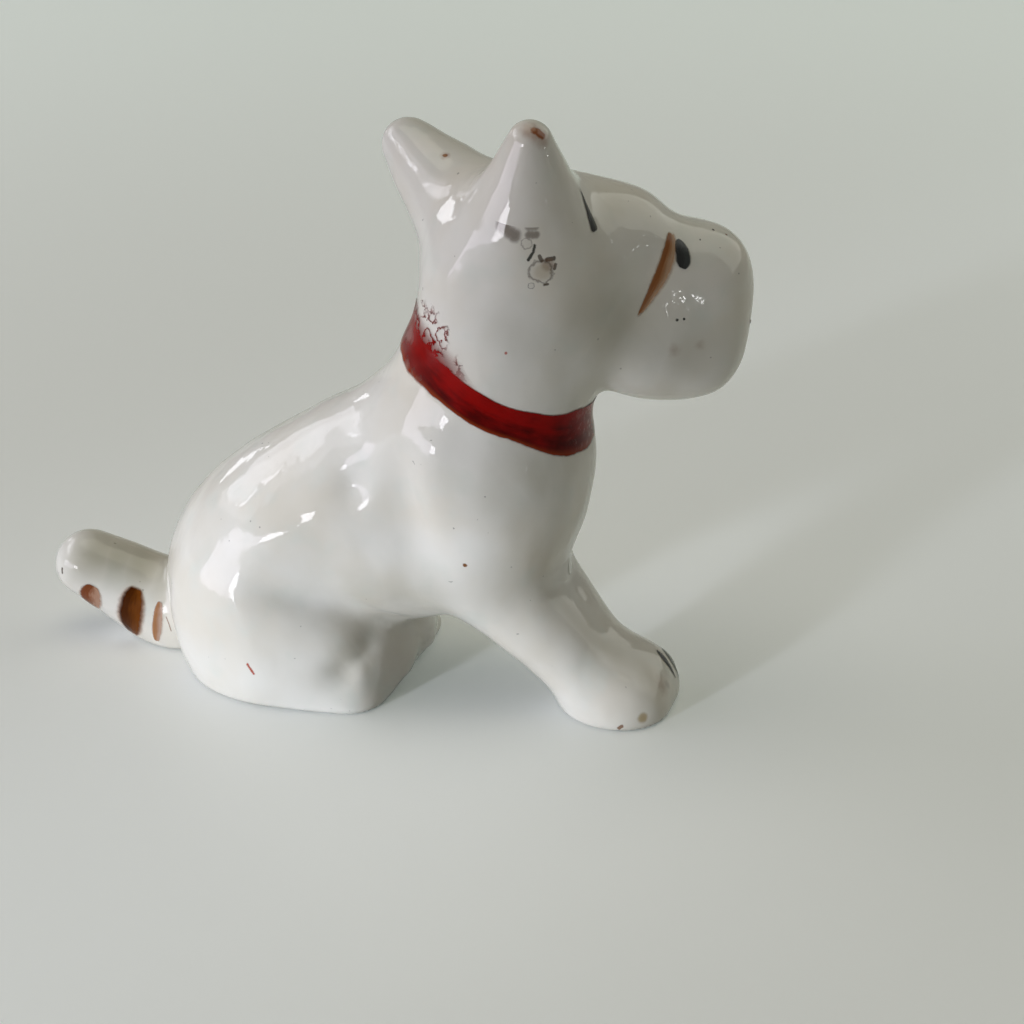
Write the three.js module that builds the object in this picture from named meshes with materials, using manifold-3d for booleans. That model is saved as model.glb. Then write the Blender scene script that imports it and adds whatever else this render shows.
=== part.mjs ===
import * as THREE from 'three';
import { mergeVertices } from 'three/addons/utils/BufferGeometryUtils.js';
import Module from 'manifold-3d';

// Glazed porcelain figurine of a sitting terrier, in millimetres.
// +X is the way the body faces, +Y its left side and +Z up. The feet stand on Z = 0.
// The animal is drawn as clay forms that melt into one skin. Each cast piece is the part
// of that skin on its own side of the luted joints, and the enamel lies on top of it.

// Joints and enamel
const JOINT_GAP = 0.3;
const ENAMEL_CLEARANCE = 0.2;
const ENAMEL_THICKNESS = 0.22;
const ENAMEL_ROOT = 1.1;

// Body forms
const RUMP = { at: [-20.6, 0, 11.6], radii: [12.6, 9.5, 8.2], pitch: 39 };
const BACK = { at: [-13.2, 0, 16.3], radii: [14.7, 8.3, 8.4], pitch: 39 };
const BELLY = { at: [-9.6, 0, 12.8], radii: [8.4, 7.9, 7.1], pitch: 12 };
const CHEST = { at: [-0.6, 0, 18.4], radii: [7.0, 9.1, 10.7], pitch: -14 };
const NECK = { from: [-3.3, 0, 23.5], to: [-0.9, -0.2, 31.5], radii: [8.9, 6.7] };
const TAIL = { from: [-31.3, 0, 1.8], to: [-39.8, -1.6, 6.3], radii: [4.4, 3.1] };

// Leg forms, given for the right side and mirrored for the left
const THIGH = { at: [-20.4, -5.0, 6.3], radii: [8.8, 5.8, 8.3], yaw: 6, pitch: 10 };
const SEAT = { at: [-18.9, -5.1, 2.5], radii: [8.7, 6.1, 6.6] };
const HIND_FOOT = { at: [-13.8, -4.7, 1.6], radii: [4.8, 5.7, 5.4], yaw: 4, pitch: -8, power: 3 };
const FORELEG = { from: [-2.2, -3.1, 12.7], to: [6.8, -2.1, 3.5], radii: [4.1, 2.9] };
const FOREPAW = { at: [9.9, -1.8, 0.9], radii: [4.5, 4.0, 3.7], pitch: -8 };

// Head forms, measured from the middle of the skull: forward, left, up
const HEAD_AT = [1.5, 0.5, 36.6];
const HEAD_TURN = 39;
const HEAD_LIFT = 2;
const HEAD_TILT = -9;
const SKULL = { at: [0.6, 0, 0.2], radii: [9.6, 7.6, 8.9] };
const FOREHEAD = { at: [5.5, 0, 3.2], radii: [6.1, 6.0, 4.2] };
const MUZZLE = { at: [11.3, 0, -3.7], radii: [6.9, 6.2, 7.6], pitch: -11, power: 2.8 };
const JAW = { from: [2.0, 0, -4.4], to: [8.0, 0, -4.8], radii: [4.5, 4.1] };
const RIGHT_EAR = { from: [-1.3, -3.2, 4.8], to: [-1.8, -7.1, 11.8], radii: [5.2, 1.8] };
const LEFT_EAR = { from: [-2.3, 3.6, 4.1], to: [-6.0, 10.1, 10.9], radii: [5.2, 2.2] };
const NAPE_RADII = [7.0, 7.4];
const NAPE_TOP_DROP = [-0.5, 0, -1.0];
const NAPE_FOOT_HEIGHT = 30;

// How far neighbouring forms melt together
const BACK_MELT = 5;
const BELLY_MELT = 4;
const CHEST_MELT = 5;
const NECK_MELT = 4;
const HAUNCH_MELT = 4;
const FOOT_MELT = 2;
const HIND_MELT = 2.5;
const HIND_PAIR_MELT = 6;
const PAW_MELT = 3.5;
const FORE_MELT = 3.5;
const FORE_PAIR_MELT = 3.4;
const TAIL_MELT = 3;
const FOREHEAD_MELT = 2.5;
const MUZZLE_MELT = 3.5;
const JAW_MELT = 2.5;
const NAPE_MELT = 3;
const EAR_MELT = 3.6;
const HEAD_MELT = 3;

// Red collar band: its slope and its height at the middle of the neck
const COLLAR_HEIGHT = 28.7;
const COLLAR_WIDTH = 3;
const COLLAR_SLOPE = 28.8;
const COLLAR_FLARE = 0.5;

// Luted joints: a point on each flat and the way it faces. The collar hides the neck's.
const NECK_JOINT_ABOVE_COLLAR = 0.4;
const NECK_JOINT = {
  at: [-0.5, 0, COLLAR_HEIGHT + NECK_JOINT_ABOVE_COLLAR], facing: [0.46, 0, 0.89],
};
const TAIL_JOINT = { at: [-30.2, 0, 3.0], facing: [-0.94, 0, -0.34] };
const HAUNCH_TOP = { at: [-8.6, 0, 7.6], facing: [-0.12, 0, -1] };
const SHOULDER_JOINT = { at: [1.5, 0, 9.6], facing: [0.66, 0, -0.75] };
const SHOULDER_BACK = { at: [-6, 0, 0], facing: [1, 0, 0] };
const MIDLINE = { at: [0, 0, 0], facing: [0, -1, 0] };
const EAR_JOINT_SHARE = 0.42;
const GROUND = { at: [0, 0, 0], facing: [0, 0, 1] };

// Brush marks, each a stroke through three places on the skin
const EYE_WIDTH = 1.35;
const BROW_WIDTH = 1.4;
const EAR_LINE_WIDTH = 0.8;
const NOSE_WIDTH = 2.4;
const MOUTH_WIDTH = 0.5;
const CLAW_WIDTH = 0.65;
const EYE = [[10.6, -5.1, 2.6], [10.8, -5.5, 1.4], [10.5, -5.9, 0.3]];
const BROW = [[10.2, -4.8, 3.2], [9.0, -5.9, 0.6], [6.3, -6.1, -3.0]];
const RIGHT_EAR_LINE = [[2.2, -6.5, 8.1], [2.6, -7.0, 6.0], [2.9, -7.2, 4.5]];
const LEFT_EAR_LINE = [[1.4, 6.8, 7.6], [2.2, 7.0, 5.8], [2.8, 7.1, 4.5]];
const NOSE = [[18.0, -1.6, 0.2], [18.4, 0, 0.2], [18.0, 1.6, 0.2]];
const MOUTH = [[16.8, -4.8, -5.0], [18.2, 0, -5.8], [16.8, 4.8, -5.0]];
const TAIL_STRIPES = [
  { path: [[-37.9, -4.6, 5.7], [-38.4, -4.5, 4.4], [-38.8, -3.4, 3.0]], width: 1.7 },
  { path: [[-34.0, -3.8, 5.9], [-34.5, -4.5, 3.5], [-34.9, -3.0, 1.0]], width: 2.4 },
  { path: [[-31.8, -3.9, 4.8], [-31.9, -4.4, 2.8], [-32.2, -4.1, 0.8]], width: 1.0 },
];
const CLAWS = [
  [[12.2, 2.0, 3.9], [13.2, 1.5, 3.1], [14.0, 1.2, 1.9]],
  [[12.4, 3.2, 3.5], [13.5, 2.6, 2.7], [14.2, 2.2, 1.4]],
  [[11.9, 4.4, 3.1], [12.9, 4.0, 2.3], [13.6, 3.7, 1.1]],
];

// Facets
const TORSO_FACETS = { around: 32, along: 20, cap: 7 };
const HEAD_FACETS = { around: 34, along: 10, cap: 8 };
const LIMB_FACETS = { around: 22, along: 8, cap: 6 };
const HAUNCH_FACETS = { around: 28, along: 8, cap: 7 };
const COLLAR_FACETS = { around: 36, along: 6, cap: 1 };
const MARK_FACETS = { around: 8, along: 8 };

// Cores: where the middle of each cast piece runs
const CHEST_CORE = [-3.6, 0, 19.4];
const SKULL_CORE = [-1, 0, 0];
const HAUNCH_CORE_SHARE = 0.4;
const FORELEG_CORE_SHARE = 0.5;

// A piece is cast this far past its joints and then cut flat. Its skin is sought outward
// from the core in steps until it is passed, and then halved in.
const CAST_PAST_JOINT = 1.6;
const SEARCH_STEP = 0.3;
const HALVINGS = 16;
const SLOPE_STEP = 0.02;
const TINY = 1e-6;
const CUTTER = 120;

const PORCELAIN = { color: 0xdedbd4, roughness: 0.12, metalness: 0 };
const ENAMEL_RED = { color: 0x8e1712, roughness: 0.22, metalness: 0 };
const ENAMEL_BLACK = { color: 0x1c1f24, roughness: 0.15, metalness: 0 };
const ENAMEL_BROWN = { color: 0x8a4a22, roughness: 0.25, metalness: 0 };

const wasm = await Module();
wasm.setup();

const radians = THREE.MathUtils.degToRad;
const vector = (xyz) => new THREE.Vector3(...xyz);
const mirrored = ([x, y, z]) => [x, -y, z];
const same = (form) => form;

// The left-hand twin of a form, joint or stroke given for the right side
const twin = (form) => {
  const copy = { ...form };
  for (const key of ['at', 'from', 'to', 'facing']) {
    if (form[key]) copy[key] = mirrored(form[key]);
  }
  if (form.yaw) copy.yaw = -form.yaw;
  return copy;
};

// Turned frame: yaw to the left, pitch nose up, tilt about the forward axis
function frame(at, yaw = 0, pitch = 0, tilt = 0) {
  const turn = new THREE.Euler(radians(tilt), -radians(pitch), radians(yaw), 'ZYX');
  return new THREE.Matrix4().makeRotationFromEuler(turn).setPosition(...at);
}

// Clay forms: each returns the distance from a place to its own surface, negative inside
function ball({ at, radii, yaw = 0, pitch = 0, power = 2 }) {
  const inverse = frame(at, yaw, pitch).invert();
  const q = new THREE.Vector3();
  return (p) => {
    q.copy(p).applyMatrix4(inverse);
    let sum = 0;
    let slope = 0;
    for (let axis = 0; axis < 3; axis += 1) {
      const share = Math.abs(q.getComponent(axis)) / radii[axis] + TINY;
      const rise = share ** (power - 1);
      sum += rise * share;
      slope += (rise / radii[axis]) ** 2;
    }
    const scale = sum ** (1 / power);
    return (scale - 1) / (Math.sqrt(slope) * scale ** (1 - power));
  };
}

function limb({ from, to, radii }) {
  const start = vector(from);
  const axis = vector(to).sub(start);
  const length = axis.length();
  axis.normalize();
  const [startRadius, endRadius] = radii;
  const sine = (startRadius - endRadius) / length;
  const cosine = Math.sqrt(1 - sine * sine);
  const q = new THREE.Vector3();
  return (p) => {
    q.copy(p).sub(start);
    const along = q.dot(axis);
    const across = Math.sqrt(Math.max(q.lengthSq() - along * along, 0));
    const slide = along * cosine - across * sine;
    if (slide < 0) return Math.hypot(along, across) - startRadius;
    if (slide > length * cosine) return Math.hypot(along - length, across) - endRadius;
    return across * cosine + along * sine - startRadius;
  };
}

// Smooth union: the two skins melt together over the given distance
function melt(first, second, over) {
  return (p) => {
    const a = first(p);
    const b = second(p);
    const share = Math.max(over - Math.abs(a - b), 0) / over;
    return Math.min(a, b) - (share ** 3 * over) / 6;
  };
}

function bodySkin() {
  let torso = melt(ball(RUMP), ball(BACK), BACK_MELT);
  torso = melt(torso, ball(BELLY), BELLY_MELT);
  torso = melt(torso, ball(CHEST), CHEST_MELT);
  torso = melt(torso, limb(NECK), NECK_MELT);
  const haunch = (side) => {
    const thigh = melt(ball(side(THIGH)), ball(side(SEAT)), HAUNCH_MELT);
    return melt(thigh, ball(side(HIND_FOOT)), FOOT_MELT);
  };
  const foreleg = (side) => melt(limb(side(FORELEG)), ball(side(FOREPAW)), PAW_MELT);
  const hind = melt(haunch(same), haunch(twin), HIND_PAIR_MELT);
  const fore = melt(foreleg(same), foreleg(twin), FORE_PAIR_MELT);
  const legged = melt(melt(torso, hind, HIND_MELT), fore, FORE_MELT);
  return melt(legged, limb(TAIL), TAIL_MELT);
}

const headFrame = frame(HEAD_AT, HEAD_TURN, HEAD_LIFT, HEAD_TILT);
const inHead = (xyz) => vector(xyz).applyMatrix4(headFrame).toArray();
const headed = ({ from, to, radii }) => ({ from: inHead(from), to: inHead(to), radii });

function headSkin() {
  const inverse = headFrame.clone().invert();
  let local = melt(ball(SKULL), ball(FOREHEAD), FOREHEAD_MELT);
  local = melt(local, ball(MUZZLE), MUZZLE_MELT);
  local = melt(local, limb(JAW), JAW_MELT);
  const q = new THREE.Vector3();
  const face = (p) => local(q.copy(p).applyMatrix4(inverse));
  const nape = limb({
    from: vector(HEAD_AT).add(vector(NAPE_TOP_DROP)).toArray(),
    to: [NECK.to[0], NECK.to[1], NAPE_FOOT_HEIGHT],
    radii: NAPE_RADII,
  });
  let head = melt(face, nape, NAPE_MELT);
  head = melt(head, limb(headed(RIGHT_EAR)), EAR_MELT);
  return melt(head, limb(headed(LEFT_EAR)), EAR_MELT);
}

const skin = melt(bodySkin(), headSkin(), HEAD_MELT);

// First place along a ray, from inside the clay, where the field reaches the given depth
function reachSkin(start, direction, field, offset) {
  const place = new THREE.Vector3();
  const at = (far) => field(place.copy(start).addScaledVector(direction, far)) - offset;
  let near = 0;
  let far = 0;
  while (at(far) < 0) {
    near = far;
    far += SEARCH_STEP;
  }
  for (let halving = 0; halving < HALVINGS; halving += 1) {
    const middle = (near + far) / 2;
    if (at(middle) < 0) near = middle;
    else far = middle;
  }
  return start.clone().addScaledVector(direction, near);
}

function outward(p, field) {
  const slope = [0, 1, 2].map((axis) => {
    const ahead = p.clone().setComponent(axis, p.getComponent(axis) + SLOPE_STEP);
    const behind = p.clone().setComponent(axis, p.getComponent(axis) - SLOPE_STEP);
    return field(ahead) - field(behind);
  });
  return vector(slope).normalize();
}

// Closed solid of a geometry whose vertices are merged, without the flat facets at its poles
function solid(geometry) {
  geometry.deleteAttribute('normal');
  geometry.deleteAttribute('uv');
  const merged = mergeVertices(geometry);
  const index = merged.index.array;
  const kept = [];
  for (let i = 0; i < index.length; i += 3) {
    const [a, b, c] = index.slice(i, i + 3);
    if (a !== b && b !== c && c !== a) kept.push(a, b, c);
  }
  return { positions: merged.attributes.position, triangles: kept };
}

function manifoldOf({ positions, triangles }) {
  return new wasm.Manifold(new wasm.Mesh({
    numProp: 3,
    vertProperties: new Float32Array(positions.array),
    triVerts: new Uint32Array(triangles),
  }));
}

// A capsule bent along a path whose vertices slide outward until they meet the skin
function cast(path, facets, { field = skin, offset = 0, aside = [0, 1, 0] } = {}) {
  const capsule = new THREE.CapsuleGeometry(1, 1, facets.cap, facets.around, facets.along);
  const { positions, triangles } = solid(capsule);
  const direction = new THREE.Vector3();
  for (let i = 0; i < positions.count; i += 1) {
    const height = positions.getY(i);
    const share = THREE.MathUtils.clamp(height + 0.5, 0, 1);
    const tangent = path.getTangent(share);
    const across = new THREE.Vector3().crossVectors(tangent, vector(aside)).normalize();
    const beside = new THREE.Vector3().crossVectors(across, tangent);
    const past = height - THREE.MathUtils.clamp(height, -0.5, 0.5);
    direction.copy(across).multiplyScalar(positions.getX(i))
      .addScaledVector(tangent, past)
      .addScaledVector(beside, positions.getZ(i))
      .normalize();
    positions.setXYZ(i, ...reachSkin(path.getPoint(share), direction, field, offset));
  }
  return manifoldOf({ positions, triangles });
}

const straight = (from, to) => new THREE.LineCurve3(vector(from), vector(to));

// Everything on the far side of a joint, moved away from it by the clearance
function beyond({ at, facing }, clearance = 0) {
  const normal = vector(facing).normalize();
  const box = new THREE.BoxGeometry(CUTTER, CUTTER, CUTTER);
  box.translate(0, 0, CUTTER / 2 + clearance);
  const turn = new THREE.Quaternion().setFromUnitVectors(new THREE.Vector3(0, 0, 1), normal);
  box.applyQuaternion(turn);
  box.translate(...at);
  return manifoldOf(solid(box));
}

// Distance past a joint, positive beyond it
function pastJoint({ at, facing }) {
  const normal = vector(facing).normalize();
  const level = vector(at).dot(normal);
  return (p) => p.dot(normal) - level;
}

// Distances that end a cast piece: before a joint, past all of several, and the skin so ended
const before = (joint) => {
  const past = pastJoint(joint);
  return (p) => -past(p);
};
const pastAll = (...joints) => {
  const past = joints.map(pastJoint);
  return (p) => Math.min(...past.map((distance) => distance(p)));
};
const stopped = (stops) => {
  const limit = (p) => Math.max(...stops.map((stop) => stop(p))) - CAST_PAST_JOINT;
  return (p) => Math.max(skin(p), limit(p));
};

const HALF_GAP = JOINT_GAP / 2;
const hindRegion = (clearance) => beyond(HAUNCH_TOP, clearance)
  .subtract(beyond(TAIL_JOINT, -clearance));
const foreRegion = (clearance) => beyond(SHOULDER_JOINT, clearance)
  .intersect(beyond(SHOULDER_BACK, clearance));

function earJoint(ear) {
  const from = vector(inHead(ear.from));
  const to = vector(inHead(ear.to));
  const facing = to.clone().sub(from).toArray();
  return { at: from.lerp(to, EAR_JOINT_SHARE).toArray(), facing };
}

const torsoPath = new THREE.CatmullRomCurve3([
  vector(RUMP.at),
  vector([BACK.at[0], 0, BACK.at[2]]),
  vector(CHEST_CORE),
  vector([NECK.to[0], NECK.to[1], COLLAR_HEIGHT]),
]);
const headPath = straight(inHead(SKULL_CORE), inHead(MUZZLE.at));
const headAside = inHead([0, 1, 0]).map((value, axis) => value - HEAD_AT[axis]);

function torsoPiece() {
  const stops = [HAUNCH_TOP, TAIL_JOINT].map(pastJoint);
  stops.push(pastAll(SHOULDER_JOINT, SHOULDER_BACK));
  return cast(torsoPath, TORSO_FACETS, { field: stopped([...stops, pastJoint(NECK_JOINT)]) })
    .subtract(beyond(NECK_JOINT, -HALF_GAP))
    .subtract(collarSeat())
    .subtract(beyond(TAIL_JOINT, -HALF_GAP))
    .subtract(foreRegion(-HALF_GAP))
    .subtract(hindRegion(-HALF_GAP));
}

function headPiece() {
  const ears = [earJoint(RIGHT_EAR), earJoint(LEFT_EAR)];
  const field = stopped([...ears.map(pastJoint), before(NECK_JOINT)]);
  return cast(headPath, HEAD_FACETS, { aside: headAside, field })
    .intersect(beyond(NECK_JOINT, HALF_GAP))
    .subtract(collarSeat())
    .subtract(beyond(ears[0], -HALF_GAP))
    .subtract(beyond(ears[1], -HALF_GAP));
}

function earPiece(ear) {
  const joint = earJoint(ear);
  const path = straight(joint.at, inHead(ear.to));
  return cast(path, LIMB_FACETS, { aside: headAside, field: stopped([before(joint)]) })
    .intersect(beyond(joint, HALF_GAP));
}

function foreleg(side) {
  const form = side(FORELEG);
  const paw = side(FOREPAW);
  const midline = side(MIDLINE);
  const joints = [SHOULDER_JOINT, SHOULDER_BACK, midline];
  const root = vector(form.from).lerp(vector(form.to), FORELEG_CORE_SHARE).toArray();
  const path = straight(root, [paw.at[0], paw.at[1], form.to[2]]);
  return cast(path, LIMB_FACETS, { field: stopped(joints.map(before)) })
    .intersect(foreRegion(HALF_GAP))
    .intersect(beyond(midline, HALF_GAP))
    .intersect(beyond(GROUND));
}

function haunch(side) {
  const midline = side(MIDLINE);
  const root = vector(side(THIGH).at).lerp(vector(TAIL.from), HAUNCH_CORE_SHARE).toArray();
  const stops = [before(HAUNCH_TOP), before(midline), pastJoint(TAIL_JOINT)];
  return cast(straight(root, side(HIND_FOOT).at), HAUNCH_FACETS, { field: stopped(stops) })
    .intersect(hindRegion(HALF_GAP))
    .intersect(beyond(midline, HALF_GAP))
    .intersect(beyond(GROUND));
}

function tailPiece() {
  return cast(straight(TAIL.from, TAIL.to), LIMB_FACETS, { field: stopped([before(TAIL_JOINT)]) })
    .intersect(beyond(TAIL_JOINT, HALF_GAP))
    .intersect(beyond(GROUND));
}

// The collar lies between two planes across the neck that spread toward the back
const collarMiddle = [
  NECK.to[0], 0, COLLAR_HEIGHT - NECK.to[0] * Math.tan(radians(COLLAR_SLOPE)),
];
function collarEdge(sign) {
  const slope = radians(COLLAR_SLOPE + sign * COLLAR_FLARE);
  const up = [Math.sin(slope), 0, Math.cos(slope)];
  const at = collarMiddle.map((value, axis) => value + (sign * COLLAR_WIDTH / 2) * up[axis]);
  return { at, facing: up.map((value) => value * sign) };
}

function neckSleeve(offset) {
  const slope = radians(COLLAR_SLOPE);
  const reach = [Math.sin(slope), 0, Math.cos(slope)].map((value) => value * COLLAR_WIDTH);
  const ends = [-1, 1].map((sign) => collarMiddle.map((value, i) => value + sign * reach[i]));
  return cast(straight(...ends), COLLAR_FACETS, { offset });
}

const collarPiece = () => neckSleeve(ENAMEL_CLEARANCE + ENAMEL_THICKNESS)
  .subtract(neckSleeve(ENAMEL_CLEARANCE))
  .subtract(beyond(collarEdge(1)))
  .subtract(beyond(collarEdge(-1)));

// What the clay leaves free for the collar: all outside the neck's own skin, under the band
function collarSeat() {
  const turned = ({ at, facing }) => ({ at, facing: facing.map((value) => -value) });
  return beyond(turned(collarEdge(1)), -ENAMEL_CLEARANCE)
    .intersect(beyond(turned(collarEdge(-1)), -ENAMEL_CLEARANCE))
    .subtract(neckSleeve(0));
}

// A brush mark: a ball drawn out along a stroke, domed outside, following the skin inside
function mark(points, width) {
  const [start, via, end] = points.map(vector);
  const control = via.clone().multiplyScalar(2)
    .addScaledVector(start, -0.5)
    .addScaledVector(end, -0.5);
  const path = new THREE.QuadraticBezierCurve3(start, control, end);
  const out = outward(via, skin);
  const { around, along } = MARK_FACETS;
  const { positions, triangles } = solid(new THREE.SphereGeometry(1, around, along));
  for (let i = 0; i < positions.count; i += 1) {
    const share = (positions.getY(i) + 1) / 2;
    const beside = new THREE.Vector3().crossVectors(path.getTangent(share), out).normalize();
    const place = path.getPoint(share)
      .addScaledVector(beside, (positions.getX(i) * width) / 2)
      .addScaledVector(out, -ENAMEL_ROOT);
    const height = ENAMEL_CLEARANCE + ENAMEL_THICKNESS * Math.max(positions.getZ(i), 0);
    positions.setXYZ(i, ...reachSkin(place, out, skin, height));
  }
  return manifoldOf({ positions, triangles });
}

const headMark = (points, width) => mark(points.map(inHead), width);

function meshOf(piece, name, finish) {
  const { vertProperties, triVerts } = piece.getMesh();
  const geometry = new THREE.BufferGeometry();
  geometry.setAttribute('position', new THREE.BufferAttribute(vertProperties, 3));
  geometry.setIndex(new THREE.BufferAttribute(triVerts, 1));
  geometry.computeVertexNormals();
  const mesh = new THREE.Mesh(geometry, new THREE.MeshStandardMaterial(finish));
  mesh.name = name;
  return mesh;
}

const figurine = new THREE.Group();
figurine.name = 'sitting_terrier';
const clay = {
  torso: torsoPiece(),
  head: headPiece(),
  ear_right: earPiece(RIGHT_EAR),
  ear_left: earPiece(LEFT_EAR),
  foreleg_right: foreleg(same),
  foreleg_left: foreleg(twin),
  haunch_right: haunch(same),
  haunch_left: haunch(twin),
  tail: tailPiece(),
};
for (const [name, piece] of Object.entries(clay)) figurine.add(meshOf(piece, name, PORCELAIN));
figurine.add(meshOf(collarPiece(), 'collar_band', ENAMEL_RED));

const dark = {
  eye_right: headMark(EYE, EYE_WIDTH),
  eye_left: headMark(EYE.map(mirrored), EYE_WIDTH),
  ear_line_right: headMark(RIGHT_EAR_LINE, EAR_LINE_WIDTH),
  ear_line_left: headMark(LEFT_EAR_LINE, EAR_LINE_WIDTH),
  nose: headMark(NOSE, NOSE_WIDTH),
};
CLAWS.forEach((path, i) => {
  dark[`claw_line_${i + 1}`] = mark(path, CLAW_WIDTH);
});
for (const [name, piece] of Object.entries(dark)) figurine.add(meshOf(piece, name, ENAMEL_BLACK));

const brown = {
  brow_right: headMark(BROW, BROW_WIDTH),
  brow_left: headMark(BROW.map(mirrored), BROW_WIDTH),
  mouth_line: headMark(MOUTH, MOUTH_WIDTH),
};
TAIL_STRIPES.forEach(({ path, width }, i) => {
  brown[`tail_stripe_${i + 1}`] = mark(path, width);
});
for (const [name, piece] of Object.entries(brown)) figurine.add(meshOf(piece, name, ENAMEL_BROWN));

// The origin is the middle of the figurine's box, on the ground
const box = new THREE.Box3().setFromObject(figurine);
const middle = box.getCenter(new THREE.Vector3());
for (const mesh of figurine.children) mesh.position.set(-middle.x, -middle.y, -box.min.z);

export default figurine;
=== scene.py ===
import math
import bpy
import bmesh
import numpy as np
from mathutils import Matrix, Vector, noise


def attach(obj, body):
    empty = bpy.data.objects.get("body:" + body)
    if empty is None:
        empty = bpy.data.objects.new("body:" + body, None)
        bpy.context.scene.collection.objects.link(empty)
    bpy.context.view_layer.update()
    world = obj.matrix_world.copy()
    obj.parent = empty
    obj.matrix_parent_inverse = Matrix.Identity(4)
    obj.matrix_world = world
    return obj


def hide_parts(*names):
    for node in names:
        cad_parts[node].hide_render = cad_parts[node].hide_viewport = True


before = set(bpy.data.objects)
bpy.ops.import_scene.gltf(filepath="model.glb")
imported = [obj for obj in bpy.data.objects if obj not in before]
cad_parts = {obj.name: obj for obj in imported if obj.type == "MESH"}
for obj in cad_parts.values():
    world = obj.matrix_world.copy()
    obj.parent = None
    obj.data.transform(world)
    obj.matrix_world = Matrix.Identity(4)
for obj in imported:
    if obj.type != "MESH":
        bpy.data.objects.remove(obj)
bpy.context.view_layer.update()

# The figurine is shaped in millimetres in the dog's own frame: X forward, Y its left, Z up.
# DOG_TO_PART moves a finished piece into the part's frame, in metres.
MM = 0.001
DOG_TO_PART = Matrix.Scale(MM, 4) @ Matrix.Translation((12.3007, -1.5861, 0.0))

# Body forms
RUMP = dict(at=(-20.6, 0, 11.6), radii=(12.6, 9.5, 8.2), pitch=39)
BACK = dict(at=(-13.2, 0, 16.3), radii=(14.7, 8.3, 8.4), pitch=39)
BELLY = dict(at=(-9.6, 0, 12.8), radii=(8.4, 7.9, 7.1), pitch=12)
CHEST = dict(at=(-0.6, 0, 18.4), radii=(7.0, 9.1, 10.7), pitch=-14)
NECK = dict(start=(-3.3, 0, 23.5), end=(-0.9, -0.2, 31.5), radii=(8.9, 6.7))
TAIL = dict(start=(-31.3, 0, 1.8), end=(-39.8, -1.6, 6.3), radii=(4.4, 3.1))

# Leg forms of the right side
THIGH = dict(at=(-20.4, -5.0, 6.3), radii=(8.8, 5.8, 8.3), yaw=6, pitch=10)
SEAT = dict(at=(-18.9, -5.1, 2.5), radii=(8.7, 6.1, 6.6))
HIND_FOOT = dict(at=(-13.8, -4.7, 1.6), radii=(4.8, 5.7, 5.4), yaw=4, pitch=-8, power=3)
FORELEG = dict(start=(-2.2, -3.1, 12.7), end=(6.8, -2.1, 3.5), radii=(4.1, 2.9))
FOREPAW = dict(at=(9.9, -1.8, 0.9), radii=(4.5, 4.0, 3.7), pitch=-8)

# Head forms, from the middle of the skull: forward, left, up
HEAD_AT = np.array((1.5, 0.5, 36.6))
HEAD_TURN, HEAD_LIFT, HEAD_TILT = 39, 2, -9
SKULL = dict(at=(0.6, 0, 0.2), radii=(9.6, 7.6, 8.9))
FOREHEAD = dict(at=(5.5, 0, 3.2), radii=(6.1, 6.0, 4.2))
MUZZLE = dict(at=(11.3, 0, -3.7), radii=(6.9, 6.2, 7.6), pitch=-11, power=2.8)
JAW = dict(start=(2.0, 0, -4.4), end=(8.0, 0, -4.8), radii=(4.5, 4.1))
RIGHT_EAR = dict(start=(-1.3, -3.2, 4.8), end=(-1.8, -7.1, 11.8), radii=(5.2, 1.8))
LEFT_EAR = dict(start=(-2.3, 3.6, 4.1), end=(-6.0, 10.1, 10.9), radii=(5.2, 2.2))
NAPE = dict(start=(1.0, 0.5, 35.6), end=(-0.9, -0.2, 30.0), radii=(7.0, 7.4))

# How far each form melts into what it joins
MELT = dict(back=5, belly=4, chest=5, neck=4, seat=4, hind_foot=2, haunches=6, haunch=2.5,
            forepaw=3.5, forelegs=3.4, foreleg=3.5, tail=3, forehead=2.5, muzzle=3.5, jaw=2.5,
            nape=3, ear=3.6, head=3)

# Luted joints: a point on each and the way it faces
NECK_JOINT = ((-0.5, 0, 29.1), (0.46, 0, 0.89))
TAIL_JOINT = ((-30.2, 0, 3.0), (-0.94, 0, -0.34))
HAUNCH_TOP = ((-8.6, 0, 7.6), (-0.12, 0, -1))
SHOULDER_JOINT = ((1.5, 0, 9.6), (0.66, 0, -0.75))
SHOULDER_BACK_X = -6.0  # forelegs lie before this plane, haunches and tail behind it
SHOULDER_TOP_Z = 20     # the forelegs' joint is below this height, the neck's above it
RUMP_END_X = -25        # the tail's joint is behind this plane
RIGHT_EAR_EDGE = 2      # how far left of the head's middle the right ear may go
EAR_JOINT_SHARE = 0.42  # how far up its ear an ear's joint is
EAR_REACH = 9           # how far an ear's skin goes from its tip

ROUGH_GRAIN = 0.5      # mesh size of the rough clay
SKIN_GRAIN = 0.34      # mesh size of the skin
FOOT_ROUNDING = 0.7    # where the clay meets the ground
PROBE = 0.03           # step for the slope of the clay's distance
LONGEST_SLIDE = 1.5    # how far a place slides toward the skin in one round
FLATTEST_SLOPE = 0.2   # square of the least slope that a slide reckons with
LUMP_STEPS = 6         # balls along a limb's rough lump, less one
LUMP_FINENESS = 4      # how often a rough ball's faces are split
SMOOTHINGS = 3         # how often the skin's mesh is evened out
NEVER_ZERO = 1e-6      # keeps a ball's distance defined on its own axes
CUT_GRIP = 0.01        # how near a cut a place counts as on it
TAIL_SLACK = 0.5       # how far past the tail's joint the haunches' cut goes


def turning(yaw=0, pitch=0, tilt=0):
    """Turn of a form: yaw to the left, pitch nose up, tilt about its forward axis."""
    about = ((yaw, "Z"), (-pitch, "Y"), (tilt, "X"))
    turn = Matrix.Identity(3)
    for angle, axis in about:
        turn = turn @ Matrix.Rotation(math.radians(angle), 3, axis)
    return np.array(turn)


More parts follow.
